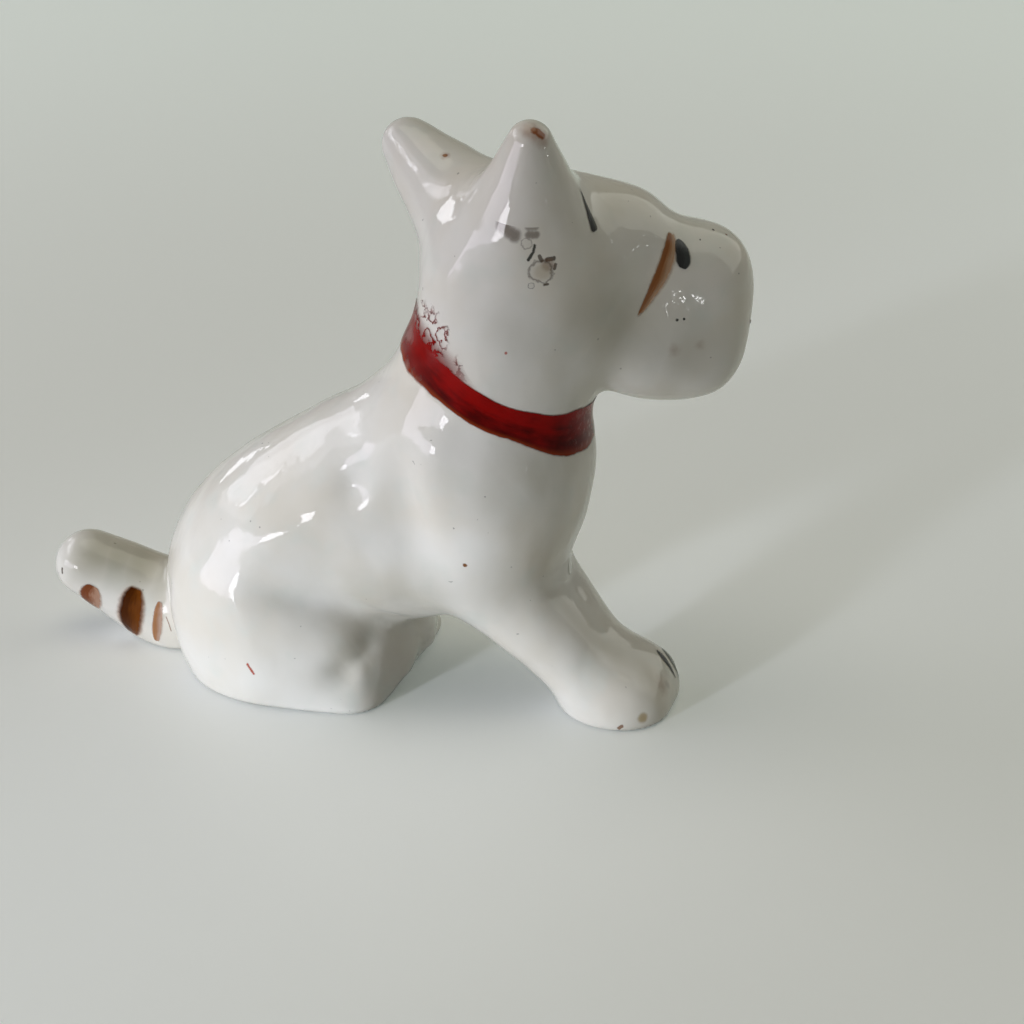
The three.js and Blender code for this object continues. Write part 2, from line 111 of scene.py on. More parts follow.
def ball(at, radii, yaw=0, pitch=0, power=2.0):
    """Distance to a ball squashed to its radii; a power above 2 squares it off."""
    middle, size, turn = np.array(at, float), np.array(radii, float), turning(yaw, pitch)

    def distance(p):
        share = np.abs((p - middle) @ turn) / size + NEVER_ZERO
        scale = (share ** power).sum(-1) ** (1 / power)
        slope = np.sqrt((((share ** (power - 1)) / size) ** 2).sum(-1))
        return (scale - 1) / (slope * scale ** (1 - power))
    return distance


def limb(start, end, radii):
    """Distance to a round cone between two balls."""
    root, tip = np.array(start, float), np.array(end, float)
    length = np.linalg.norm(tip - root)
    axis = (tip - root) / length
    sine = (radii[0] - radii[1]) / length
    cosine = math.sqrt(1 - sine * sine)

    def distance(p):
        q = p - root
        along = q @ axis
        across = np.sqrt(np.maximum((q * q).sum(-1) - along ** 2, 0))
        slide = along * cosine - across * sine
        side = across * cosine + along * sine - radii[0]
        near = np.hypot(along, across) - radii[0]
        far = np.hypot(along - length, across) - radii[1]
        return np.where(slide < 0, near, np.where(slide > length * cosine, far, side))
    return distance


def melt(first, second, over):
    """Two forms joined as soft clay is, over the given distance."""
    def distance(p):
        a, b = first(p), second(p)
        share = np.maximum(over - np.abs(a - b), 0) / over
        return np.minimum(a, b) - share ** 3 * over / 6
    return distance


def melted(first, *rest):
    """Forms joined one after another, each over its own distance."""
    for form, over in rest:
        first = melt(first, form, over)
    return first


def mirrored(place):
    return (place[0], -place[1], place[2])


def twin(form):
    """The left-hand twin of a form of the right side."""
    copy = {k: mirrored(v) if k in ("at", "start", "end") else v for k, v in form.items()}
    if "yaw" in form:
        copy["yaw"] = -form["yaw"]
    return copy


HEAD_FRAME = turning(HEAD_TURN, HEAD_LIFT, HEAD_TILT)


def in_head(place):
    return HEAD_AT + HEAD_FRAME @ np.array(place, float)


def in_skull(form):
    """A form given for the head, in the dog's frame."""
    return dict(form, start=in_head(form["start"]), end=in_head(form["end"]))


def body_clay():
    torso = melted(ball(**RUMP), (ball(**BACK), MELT["back"]), (ball(**BELLY), MELT["belly"]),
                   (ball(**CHEST), MELT["chest"]), (limb(**NECK), MELT["neck"]))
    hind, fore = [], []
    for side in (dict, twin):
        thigh = melt(ball(**side(THIGH)), ball(**side(SEAT)), MELT["seat"])
        hind.append(melt(thigh, ball(**side(HIND_FOOT)), MELT["hind_foot"]))
        fore.append(melt(limb(**side(FORELEG)), ball(**side(FOREPAW)), MELT["forepaw"]))
    return melted(torso, (melt(*hind, MELT["haunches"]), MELT["haunch"]),
                  (melt(*fore, MELT["forelegs"]), MELT["foreleg"]), (limb(**TAIL), MELT["tail"]))


def head_clay():
    face = melted(ball(**SKULL), (ball(**FOREHEAD), MELT["forehead"]),
                  (ball(**MUZZLE), MELT["muzzle"]), (limb(**JAW), MELT["jaw"]))
    turned = melt(lambda p: face((p - HEAD_AT) @ HEAD_FRAME), limb(**NAPE), MELT["nape"])
    return melted(turned, (limb(**in_skull(RIGHT_EAR)), MELT["ear"]),
                  (limb(**in_skull(LEFT_EAR)), MELT["ear"]))


whole_clay = melt(body_clay(), head_clay(), MELT["head"])


def clay(p):
    """Distance to the figurine's skin, with the feet and seat flat on the ground."""
    a, b = whole_clay(p), -p[..., 2]
    share = np.maximum(FOOT_ROUNDING - np.abs(a - b), 0) / FOOT_ROUNDING
    return np.maximum(a, b) + share ** 3 * FOOT_ROUNDING / 6


def slope_of(p):
    """Slope of the clay's distance: the way out of the skin."""
    sides = [clay(p + step) - clay(p - step) for step in np.eye(3) * PROBE]
    return np.stack(sides, -1) / (2 * PROBE)


def onto_skin(p, rounds):
    """Slides places along the slope until they lie on the skin."""
    for _ in range(rounds):
        slope = slope_of(p)
        short = clay(p) / np.maximum((slope * slope).sum(-1), FLATTEST_SLOPE)
        p = p - slope * np.clip(short, -LONGEST_SLIDE, LONGEST_SLIDE)[..., None]
    return p


def out_of_skin(p):
    """The way straight out of the skin, one long."""
    out = slope_of(p)
    return out / np.linalg.norm(out, axis=-1, keepdims=True)


def places(bm):
    return np.array([v.co for v in bm.verts], float)


def move_to(bm, spots):
    for vert, spot in zip(bm.verts, spots):
        vert.co = spot


def past(joint, p):
    """How far places lie past a joint, on the side that it faces."""
    at, facing = (np.array(v, float) for v in joint)
    return (p - at) @ (facing / np.linalg.norm(facing))


def ear_joint(ear):
    root, tip = in_head(ear["start"]), in_head(ear["end"])
    return (root + (tip - root) * EAR_JOINT_SHARE, tip - root)


# Skin

def clay_lumps():
    """One rough lump for each form, overlapping, ready to be melted into one skin."""
    bm = bmesh.new()
    head = Matrix.Translation(HEAD_AT) @ Matrix(HEAD_FRAME).to_4x4()

    def lump(form, place=Matrix.Identity(4)):
        turn = Matrix(turning(form.get("yaw", 0), form.get("pitch", 0))).to_4x4()
        made = bmesh.ops.create_icosphere(bm, subdivisions=LUMP_FINENESS, radius=1)["verts"]
        bmesh.ops.scale(bm, vec=form["radii"], verts=made)
        there = place @ Matrix.Translation(form["at"]) @ turn
        bmesh.ops.transform(bm, matrix=there, verts=made)

    def limb_lump(form):
        root, tip = Vector(form["start"]), Vector(form["end"])
        for step in range(LUMP_STEPS + 1):
            share = step / LUMP_STEPS
            radius = form["radii"][0] + (form["radii"][1] - form["radii"][0]) * share
            lump(dict(at=root.lerp(tip, share), radii=(radius,) * 3))

    for form in (RUMP, BACK, BELLY, CHEST):
        lump(form)
    for side in (dict, twin):
        for form in (THIGH, SEAT, HIND_FOOT, FOREPAW):
            lump(side(form))
        limb_lump(side(FORELEG))
    for form in (SKULL, FOREHEAD, MUZZLE):
        lump(form, head)
    for form in (NECK, TAIL, NAPE, in_skull(JAW), in_skull(RIGHT_EAR), in_skull(LEFT_EAR)):
        limb_lump(form)
    return bm


def new_object(bm, name):
    mesh = bpy.data.meshes.new(name)
    bm.to_mesh(mesh)
    bm.free()
    piece = bpy.data.objects.new(name, mesh)
    bpy.context.scene.collection.objects.link(piece)
    return piece


def remeshed(lumps, grain):
    """The outer skin of overlapping lumps, as an even mesh."""
    rough = new_object(lumps, "rough_clay")
    shrink = rough.modifiers.new("skin", "REMESH")
    shrink.mode = "VOXEL"
    shrink.voxel_size = grain
    shown = rough.evaluated_get(bpy.context.evaluated_depsgraph_get())
    skin = bmesh.new()
    skin.from_mesh(shown.to_mesh())
    shown.to_mesh_clear()
    bpy.data.meshes.remove(rough.data)
    return skin


# Where the modeller's tool pressed the clay in or drew it out, on the right side and
# mirrored on the left: the places it ran through, its width and how far it moved the skin
TOUCHES = [
    ([(-11.2, -7.9, 20.4), (-11.2, -7.9, 20.4)], 1.6, -0.55),
    ([(-22.0, -9.3, 13.6), (-18.6, -9.3, 15.2), (-13.6, -8.6, 18.0)], 2.2, 0.40),
    ([(-6.9, -8.4, 27.0), (-6.9, -8.4, 22.0), (-6.2, -8.2, 18.4), (-3.0, -8.3, 13.0)], 1.9, -0.65),
    ([(-4.4, -8.6, 27.5), (-4.0, -9.0, 21.5), (-3.4, -9.0, 17.0)], 1.7, 0.30),
    ([(-20.0, -10.5, 11.0), (-14.6, -8.6, 9.6), (-9.0, -4.6, 7.6)], 1.5, -0.70),
    ([(-8.8, -4.0, 7.2), (-10.3, -7.4, 5.7), (-11.6, -9.8, 4.2), (-13.0, -10.6, 2.8)], 1.5, -1.15),
    ([(-24.0, -9.6, 12.0), (-21.6, -10.4, 9.4), (-20.4, -10.9, 6.0)], 2.6, 0.45),
    ([(-8.6, -6.0, 5.0), (-9.4, -8.2, 3.4), (-10.6, -9.8, 1.6)], 2.5, -1.00),
    ([(-9.0, -0.5, 4.0), (-9.1, -2.5, 1.8), (-9.6, -5.5, 0.8)], 1.9, 0.70),
    ([(3.5, 0, 13.5), (7.0, 0, 8.5), (10.4, 0, 5.0)], 2.1, 0.34),
]
DABS = 14               # dabs of the tool in one touch
SWELLS = ((0.16, 0.16), (0.38, 0.07))  # shallow swells of the clay: how dense, how high
RELIEF_RISE = 1.2       # above this height over the ground the relief is full


def touched(p, path, width, depth):
    """What one touch of the tool does: dabs along its path, deepest halfway."""
    path = np.array(path, float)
    shares = (np.arange(DABS) + 0.5) / DABS
    steps = shares * (len(path) - 1)
    spots = [path[int(step)] + (path[int(step) + 1] - path[int(step)]) * (step % 1)
             for step in steps]

    def pressed(at):
        return sum(math.sin(math.pi * share) * np.exp(-((at - spot) ** 2).sum(-1) / width ** 2)
                   for spot, share in zip(spots, shares))
    return depth * pressed(p) / pressed(spots[DABS // 2])


def relief(p):
    """How far mould and hand moved the skin out at each place: touches and shallow swells."""
    lift = np.array([sum(noise.noise(Vector(q) * dense) * high for dense, high in SWELLS)
                     for q in p])
    for path, width, depth in TOUCHES:
        for side in (tuple, mirrored):
            lift += touched(p, [side(at) for at in path], width, depth)
    return lift * np.clip(p[:, 2] / RELIEF_RISE, 0, 1)


def draw_skin():
    """The figurine's whole skin, with the relief that mould and hand left on it."""
    rough = remeshed(clay_lumps(), ROUGH_GRAIN)
    move_to(rough, onto_skin(places(rough), 6))
    bm = remeshed(rough, SKIN_GRAIN)
    move_to(bm, onto_skin(places(bm), 2))
    for _ in range(SMOOTHINGS):
        bmesh.ops.smooth_vert(bm, verts=bm.verts, factor=0.5, use_axis_x=True,
                              use_axis_y=True, use_axis_z=True)
    spots = onto_skin(places(bm), 2)
    move_to(bm, spots + out_of_skin(spots) * relief(spots)[:, None])
    return bm


def cut_along(bm, joint, chosen):
    """Puts an edge where the joint crosses the chosen part of the skin."""
    middles = np.array([f.calc_center_median() for f in bm.faces], float)
    faces = [f for f, take in zip(bm.faces, chosen(middles)) if take]
    edges = {e for f in faces for e in f.edges}
    verts = {v for f in faces for v in f.verts}
    at, facing = joint
    bmesh.ops.bisect_plane(bm, geom=faces + list(edges) + list(verts), dist=CUT_GRIP,
                           plane_co=at, plane_no=facing)


RIGHT_EAR_JOINT, LEFT_EAR_JOINT = ear_joint(RIGHT_EAR), ear_joint(LEFT_EAR)
CLAY_NODES = ("torso", "head", "ear_right", "ear_left", "foreleg_right", "foreleg_left",
              "haunch_right", "haunch_left", "tail")
NUMBER = {node: number for number, node in enumerate(CLAY_NODES)}
LEGS = [NUMBER[node] for node in ("foreleg_right", "foreleg_left", "haunch_right", "haunch_left")]


def owners(p):
    """The NUMBER of the cast piece that each place of the skin belongs to."""
    left = p[:, 1] > 0
    fore = (past(SHOULDER_JOINT, p) > 0) & (p[:, 0] > SHOULDER_BACK_X)
    hind = (past(HAUNCH_TOP, p) > 0) & (p[:, 0] < SHOULDER_BACK_X)
    head = past(NECK_JOINT, p) > 0
    tail = (past(TAIL_JOINT, p) > 0) & (p[:, 0] < SHOULDER_BACK_X)
    right_ear = (past(RIGHT_EAR_JOINT, p) > 0) & head & (p[:, 1] < HEAD_AT[1] + RIGHT_EAR_EDGE)
    left_ear = (past(LEFT_EAR_JOINT, p) > 0) & head & (p[:, 0] < HEAD_AT[0])
    near_right = np.linalg.norm(p - in_head(RIGHT_EAR["end"]), axis=-1) < EAR_REACH
    near_left = np.linalg.norm(p - in_head(LEFT_EAR["end"]), axis=-1) < EAR_REACH
    found = np.full(len(p), NUMBER["torso"])
    found[fore] = np.where(left[fore], NUMBER["foreleg_left"], NUMBER["foreleg_right"])
    found[hind] = np.where(left[hind], NUMBER["haunch_left"], NUMBER["haunch_right"])
    found[tail] = NUMBER["tail"]
    found[head] = NUMBER["head"]
    found[right_ear & near_right] = NUMBER["ear_right"]
    found[left_ear & near_left] = NUMBER["ear_left"]
    return found


def cut_at_joints(bm):
    """Puts edges into the skin along every luted joint."""
    cut_along(bm, NECK_JOINT, lambda p: p[:, 2] > SHOULDER_TOP_Z)
    cut_along(bm, TAIL_JOINT, lambda p: p[:, 0] < RUMP_END_X)
    cut_along(bm, HAUNCH_TOP,
              lambda p: (p[:, 0] < SHOULDER_BACK_X) & (past(TAIL_JOINT, p) < TAIL_SLACK))
    cut_along(bm, SHOULDER_JOINT,
              lambda p: (p[:, 0] > SHOULDER_BACK_X) & (p[:, 2] < SHOULDER_TOP_Z))
    cut_along(bm, ((0, 0, 0), (0, 1, 0)), lambda p: np.isin(owners(p), LEGS))
    for joint, ear in ((RIGHT_EAR_JOINT, RIGHT_EAR), (LEFT_EAR_JOINT, LEFT_EAR)):
        tip = in_head(ear["end"])
        cut_along(bm, joint, lambda p: (past(NECK_JOINT, p) > 0)
                  & (np.linalg.norm(p - tip, axis=-1) < EAR_REACH))


def closed_part(whole, number_of_part):
    """One cast piece's share of the whole skin, closed with a fan over each joint. Its vertices
    remember their number in the skin."""
    part = bmesh.new()
    part.from_mesh(whole)
    part.verts.ensure_lookup_table()
    number = part.verts.layers.int.new("skin_vertex")
    for vert in part.verts:
        vert[number] = vert.index
    mine = owners(np.array([f.calc_center_median() for f in part.faces], float)) == number_of_part
    others = [f for f, own in zip(part.faces, mine) if not own]
    bmesh.ops.delete(part, geom=others, context="FACES")
    for face in part.faces:
        face.smooth = True
    rim = [e for e in part.edges if e.is_boundary]
    caps = bmesh.ops.holes_fill(part, edges=rim, sides=0)["faces"]
    caps = bmesh.ops.poke(part, faces=caps, center_mode="MEAN")["faces"]
    for face in caps:
        face.smooth = False
    bmesh.ops.transform(part, matrix=DOG_TO_PART, verts=part.verts)
    part.normal_update()
    return part


def shade_as_skin(mesh, skin_normals):
    """Gives a piece the whole skin's normals, so that no joint shows, and flat caps."""
    numbers = [item.value for item in mesh.attributes["skin_vertex"].data]
    normals = []
    for face in mesh.polygons:
        for corner in face.vertices:
            kept = skin_normals[numbers[corner]] if face.use_smooth else face.normal
            normals.append(tuple(kept))
    mesh.attributes.remove(mesh.attributes["skin_vertex"])
    for face in mesh.polygons:
        face.use_smooth = True
    mesh.normals_split_custom_set(normals)


def clay_pieces(paint_for):
    """The skin, cut at the luted joints into one closed piece for each cast part."""
    bm = draw_skin()
    cut_at_joints(bm)
    bm.normal_update()
    whole = bpy.data.meshes.new("whole_skin")
    bm.to_mesh(whole)
    bm.free()
    skin_normals = np.zeros(len(whole.vertices) * 3)
    whole.vertices.foreach_get("normal", skin_normals)
    skin_normals = skin_normals.reshape(-1, 3)
    for node in CLAY_NODES:
        piece = new_object(closed_part(whole, NUMBER[node]), node + "_clay")
        shade_as_skin(piece.data, skin_normals)
        piece.data.materials.append(paint_for(node))
        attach(piece, "root")
        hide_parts(node)


# Shader writing

class Wire:
    """A shader value. Arithmetic on it adds Math nodes to its material."""

    def __init__(self, paint, socket):
        self.paint, self.socket = paint, socket

    def math(self, operation, other=None, flipped=False):
        pair = [self] if other is None else [other, self] if flipped else [self, other]
        return self.paint.node("Math", dict(operation=operation), dict(enumerate(pair)))

    def __add__(self, other): return self.math("ADD", other)
    def __sub__(self, other): return self.math("SUBTRACT", other)
    def __rsub__(self, other): return self.math("SUBTRACT", other, True)
    def __mul__(self, other): return self.math("MULTIPLY", other)
    def __truediv__(self, other): return self.math("DIVIDE", other)
    def __abs__(self): return self.math("ABSOLUTE")
    def under(self, other): return self.math("MINIMUM", other)

    def ramp(self, low, high, start=0.0, end=1.0):
        """Smooth step from start to end as the value goes from low to high."""
        return self.paint.node("MapRange", dict(interpolation_type="SMOOTHSTEP"),
                               {0: self, 1: low, 2: high, 3: start, 4: end})


class Paint:
    """A material being written. Its patterns are measured in millimetres."""

    def __init__(self, name, **fixed):
        self.material = bpy.data.materials.new(name)
        self.material.use_nodes = True
        self.tree = self.material.node_tree
        self.finish = self.tree.nodes["Principled BSDF"]
        for socket, value in fixed.items():
            self.finish.inputs[socket.replace("_", " ")].default_value = value

    def node(self, kind, settings=None, inputs=None, output=0):
        made = self.tree.nodes.new("ShaderNode" + kind)
        for key, value in (settings or {}).items():
            setattr(made, key, value)
        for key, value in (inputs or {}).items():
            self.feed(made.inputs[key], value)
        return Wire(self, made.outputs[output])

    def feed(self, socket, value):
        if isinstance(value, Wire):
            self.tree.links.new(value.socket, socket)
        else:
            socket.default_value = value

    def give(self, **sockets):
        for name, value in sockets.items():
            self.feed(self.finish.inputs[name.replace("_", " ")], value)

    def place(self):
        at = self.node("TexCoord", output="Object")
        return self.node("VectorMath", dict(operation="SCALE"), {0: at, "Scale": 1 / MM})

    def stroke(self):
        """Places in a stroke's own map, and how far along and across it, each from 0 to 1."""
        at = self.node("TexCoord", output="UV")
        along = self.node("SeparateXYZ", None, {0: at})
        return at, along, Wire(self, along.socket.node.outputs[1])

    def grain(self, place, size, detail=2.0, rough=0.5, stretch=None, kind="Fac"):
        """Cloudy noise whose lumps are about as big as the size, in millimetres."""
        if stretch:
            place = self.node("VectorMath", dict(operation="MULTIPLY"), {0: place, 1: stretch})
        sockets = {"Vector": place, "Scale": 1 / size, "Detail": detail, "Roughness": rough}
        return self.node("TexNoise", None, sockets, output=kind)

    def mix(self, share, first, second):
        sockets = {0: share, 6: first, 7: second}
        return self.node("Mix", dict(data_type="RGBA"), sockets, output=2)

    def bump(self, height, depth):
        """Relief of a height from 0 to 1, at a depth in millimetres."""
        return self.node("Bump", None, {"Height": height, "Distance": depth * MM, "Strength": 1.0})


def part_place(dog_place):
    """A place of the dog's frame, in millimetres of the part's frame."""
    return tuple(np.array(DOG_TO_PART @ Vector(dog_place)) / MM)


def linear(red, green, blue):
    """A colour as it looks on a screen, 0 to 255, in the renderer's own values."""
    shares = (value / 255 for value in (red, green, blue))
    lit = [s / 12.92 if s < 0.04045 else ((s + 0.055) / 1.055) ** 2.4 for s in shares]
    return (*lit, 1.0)


GLAZE_WHITE = linear(226, 224, 217)
GLAZE_WARM = linear(220, 215, 203)
GLAZE_COOL = linear(214, 217, 209)
# painted shade: a greyish olive that darkens the glaze where shade falls
PAINTED_SHADE = linear(146, 142, 120)
STAIN_BROWN = linear(122, 76, 38)
STAIN_ORANGE = linear(140, 72, 0)
STAIN_TAN = linear(156, 130, 74)
STAIN_GREY = linear(92, 76, 64)
STAIN_RED = linear(168, 58, 30)
SPECK_BROWN = linear(66, 48, 34)
SPECK_BLACK = linear(30, 26, 22)

# Kinds of mark: how filled the inside is beside the rim, where the rim starts, how soft the
# rim is and how ragged
MARK_KINDS = {
    "speck": (1.0, 0.5, 0.45, 0.7),
    "smudge": (0.8, 0.4, 0.7, 0.35),
    "ring": (0.08, 0.66, 0.22, 1.1),
    "halo": (1.0, 0.5, 1.0, 0.8),
    # a pool is a soft patch of painted shade
    "pool": (1.0, 0.5, 1.0, 0.3),
}

# Marks of age, and patches of painted shade, on each cast part: kind, the places in the dog's
# frame that it runs through, how far it reaches from them, colour and strength
MARKS_OF_AGE_AND_SHADE = {
    "torso": [
        # painted shade on the chest's shaded side and along the belly's underside
        ("pool", [(1.8, -8.7, 21.4), (3.8, -7.0, 23.5)], 5.0, PAINTED_SHADE, 0.34),
        ("pool", [(-10.0, -7.9, 10.8), (-4.5, -7.5, 11.6)], 4.2, PAINTED_SHADE, 0.30),
        ("speck", [(-10.98, -7.99, 19.75)], 0.2, SPECK_BLACK, 1.0),
        ("speck", [(-1.16, -8.76, 15.23)], 0.24, STAIN_BROWN, 1.0),
        ("speck", [(-1.91, -9.17, 18.61)], 0.12, SPECK_BLACK, 0.6),
        ("speck", [(0.67, -9.0, 21.62)], 0.12, SPECK_BLACK, 0.6),
        ("speck", [(-10.32, -2.51, 28.67)], 0.12, SPECK_BLACK, 0.6),
        ("speck", [(-21.45, -2.8, 20.94)], 0.12, SPECK_BLACK, 0.6),
    ],
    "head": [
        # painted shade under the muzzle and on the lower cheek
        ("pool", [(8.4, -3.6, 36.0), (10.8, -0.3, 32.6), (14.4, 1.9, 31.8)], 5.5, PAINTED_SHADE,
         0.42),
        ("pool", [(2.5, -7.6, 35.0), (6.0, -6.0, 33.5)], 4.5, PAINTED_SHADE, 0.22),
        ("smudge", [(1.6, -7.38, 43.5), (2.6, -7.43, 42.86)], 0.72, STAIN_GREY, 0.95),
        ("smudge", [(3.65, -7.09, 43.5), (4.07, -6.91, 43.53)], 0.42, STAIN_GREY, 0.75),
        ("smudge", [(3.67, -7.15, 42.92), (4.16, -6.94, 42.9)], 0.42, STAIN_GREY, 0.9),
        ("ring", [(3.51, -7.3, 42.25)], 0.5, STAIN_GREY, 0.6),
        ("speck", [(4.12, -7.07, 42.1), (4.02, -7.17, 41.59), (3.68, -7.3, 41.0)], 0.17,
         SPECK_BLACK, 0.95),
        ("speck", [(4.45, -6.95, 41.25), (4.6, -6.85, 40.9)], 0.2, SPECK_BROWN, 0.85),
        ("speck", [(4.95, -6.6, 40.95), (5.4, -6.36, 41.0)], 0.24, SPECK_BROWN, 0.9),
        ("speck", [(5.55, -6.28, 40.5), (5.45, -6.3, 40.2)], 0.18, SPECK_BROWN, 0.85),
        ("smudge", [(5.0, -6.6, 40.55)], 0.7, STAIN_BROWN, 0.6),
        ("ring", [(4.6, -6.87, 39.95)], 1.05, SPECK_BROWN, 0.75),
        ("smudge", [(4.7, -6.87, 40.0)], 0.9, STAIN_TAN, 0.35),
        ("ring", [(3.85, -7.12, 38.9)], 0.3, SPECK_BLACK, 0.9),
        ("speck", [(4.75, -6.65, 38.95), (5.0, -6.55, 38.98)], 0.13, SPECK_BROWN, 0.85),
        ("speck", [(13.31, 1.45, 34.33)], 0.16, SPECK_BLACK, 1.0),
        ("speck", [(13.79, 1.81, 34.35)], 0.14, SPECK_BLACK, 1.0),
        ("speck", [(14.7, 7.05, 40.25)], 0.16, SPECK_BLACK, 0.9),
        ("speck", [(15.66, 7.61, 39.76)], 0.16, STAIN_BROWN, 0.9),
        ("speck", [(14.1, 5.1, 39.93)], 0.12, SPECK_BLACK, 0.9),
        ("speck", [(15.57, 4.16, 37.28)], 0.12, SPECK_BLACK, 0.8),
        ("speck", [(1.93, -7.46, 33.37)], 0.16, STAIN_RED, 0.8),
        ("halo", [(13.31, 1.11, 31.92)], 0.8, STAIN_BROWN, 0.3),
        ("halo", [(15.04, 2.43, 32.08)], 0.6, STAIN_BROWN, 0.25),
    ],
    "ear_right": [
        ("speck", [(3.7, -6.0, 50.8), (4.25, -5.8, 50.3)], 0.44, STAIN_ORANGE, 0.95),
        ("halo", [(3.3, -6.05, 50.7), (4.3, -5.85, 50.1)], 1.1, STAIN_ORANGE, 0.5),
    ],
    "ear_left": [
        ("speck", [(-6.27, 1.95, 45.96)], 0.27, STAIN_BROWN, 1.0),
        ("halo", [(-6.27, 1.95, 45.96)], 0.6, STAIN_ORANGE, 0.5),
        ("speck", [(-5.57, -2.08, 42.83)], 0.14, STAIN_GREY, 0.9),
    ],
    "foreleg_right": [
        ("speck", [(13.1, -1.6, 2.85)], 0.3, STAIN_BROWN, 0.9),
        ("speck", [(13.15, -1.5, 2.9), (13.35, -1.1, 3.0), (13.5, -0.7, 3.1)], 0.11,
         STAIN_BROWN, 0.7),
        ("smudge", [(13.75, -0.75, 2.3)], 0.7, STAIN_GREY, 0.45),
        ("speck", [(13.8, -0.9, 2.25)], 0.14, SPECK_BROWN, 0.8),
        ("speck", [(13.7, -1.8, 2.3)], 0.14, STAIN_BROWN, 0.7),
        ("halo", [(13.6, -1.4, 2.6)], 1.3, STAIN_BROWN, 0.4),
        ("smudge", [(13.0, -4.6, 1.2)], 0.62, STAIN_TAN, 0.95),
        ("speck", [(11.2, -5.5, 0.45), (11.4, -5.5, 0.6)], 0.24, STAIN_BROWN, 0.85),
    ],
    "foreleg_left": [
        ("smudge", [(14.19, 0.65, 1.26)], 0.45, STAIN_BROWN, 0.7),
        ("speck", [(13.41, 0.06, 2.81)], 0.2, STAIN_BROWN, 0.7),
    ],
    "haunch_right": [
        # painted shade in the crease between thigh and foot
        ("pool", [(-9.2, -5.0, 6.8), (-10.3, -7.4, 5.7), (-11.8, -9.9, 4.0)], 2.2, PAINTED_SHADE,
         0.4),
        ("speck", [(-19.74, -11.46, 4.36), (-19.22, -11.49, 3.6)], 0.2, STAIN_RED, 0.95),
    ],
    "haunch_left": [],
    "tail": [
        # painted shade over the tail's top
        ("pool", [(-38.0, -3.6, 8.1), (-34.4, -2.4, 7.3), (-31.5, -1.6, 6.2)], 4.4, PAINTED_SHADE,
         0.7),
        ("speck", [(-41.1, -4.35, 6.8), (-41.1, -4.38, 6.4)], 0.16, SPECK_BROWN, 0.9),
        ("speck", [(-31.1, -4.25, 3.44), (-30.8, -4.35, 2.8), (-30.61, -4.42, 2.2)], 0.08,
         STAIN_BROWN, 0.7),
    ],
}

MARK_GRAIN = 0.9     # grain of a mark's ragged rim, as a share of its size
MARK_STEP = 0.8      # step between the places that a mark is drawn from, as a share of its size


def chained(spots, step):
    """Places along a line through the spots, at most a step apart."""
    chain = [np.array(spots[0])]
    for first, last in zip(spots, spots[1:]):
        steps = math.ceil(math.dist(first, last) / step)
        chain += [np.array(first) + (np.array(last) - first) * k / steps
                  for k in range(1, steps + 1)]
    return chain


def age_and_shade_mark(paint, place, kind, spots, size):
    """How much of one mark, a mark of age or a patch of painted shade, there is at each place,
    from 0 to 1.
    """
    filled, rim, soft, ragged = MARK_KINDS[kind]
    sway = size * ragged
    rag = paint.grain(place, size * MARK_GRAIN, 3.0, 0.6, kind="Color")
    wobble = paint.node("VectorMath", dict(operation="SCALE"), {0: rag, "Scale": sway})
    shifted = paint.node("VectorMath", dict(operation="ADD"), {0: place, 1: wobble})
    reach = None
    for spot in chained(spots, size * MARK_STEP):
        centre = [value + sway / 2 for value in part_place(spot)]
        away = paint.node("VectorMath", dict(operation="DISTANCE"), {0: shifted, 1: centre},
                          "Value")
        reach = away if reach is None else reach.under(away)
    share = reach / size
    return share.ramp(1 - soft, 1.0, 1.0, 0.0) * share.ramp(rim, rim + 0.2, filled, 1.0)


GLAZE_RIPPLE = 0.06  # depth of the ripples in the glaze, in millimetres


def porcelain(node):
    paint = Paint("glazed_porcelain_" + node, Specular_IOR_Level=0.5, IOR=1.5,
                  Coat_Roughness=0.04)
    place = paint.place()
    cloud = paint.grain(place, 9.0, 3.0)
    tint = paint.mix(cloud.ramp(0.35, 0.7), GLAZE_WHITE, GLAZE_WARM)
    tint = paint.mix(paint.grain(place, 3.2, 2.0).ramp(0.5, 0.8, 0.0, 0.6), tint, GLAZE_COOL)
    specks = paint.grain(place, 0.42, 0.0).ramp(0.86, 0.89)
    tint = paint.mix(specks * 0.4, tint, SPECK_BLACK)
    # stains, specks and patches of painted shade, mixed into the glaze's colour
    for kind, spots, size, colour, strength in MARKS_OF_AGE_AND_SHADE[node]:
        tint = paint.mix(age_and_shade_mark(paint, place, kind, spots, size) * strength, tint, colour)
    ripple = paint.grain(place, 1.5, 1.0) * 0.7 + paint.grain(place, 0.45, 1.0) * 0.07
    paint.give(Base_Color=tint, Roughness=paint.grain(place, 2.0, 4.0).ramp(0.3, 0.8, 0.03, 0.09),
               Normal=paint.bump(ripple, GLAZE_RIPPLE))
    return paint.material


# Enamel

RED = linear(146, 8, 6)
RED_POOLED = linear(74, 1, 1)
RED_BEHIND = linear(138, 26, 24)
# paler, pinker red at the band's front
RED_PALE_FRONT = linear(156, 78, 72)
# pale scuffs in the enamel and painted glints at the throat
RED_SCUFF_AND_GLINT = linear(200, 160, 154)
RED_LOWER_RIM = linear(144, 58, 24)
RED_SPILLED = linear(128, 10, 8)


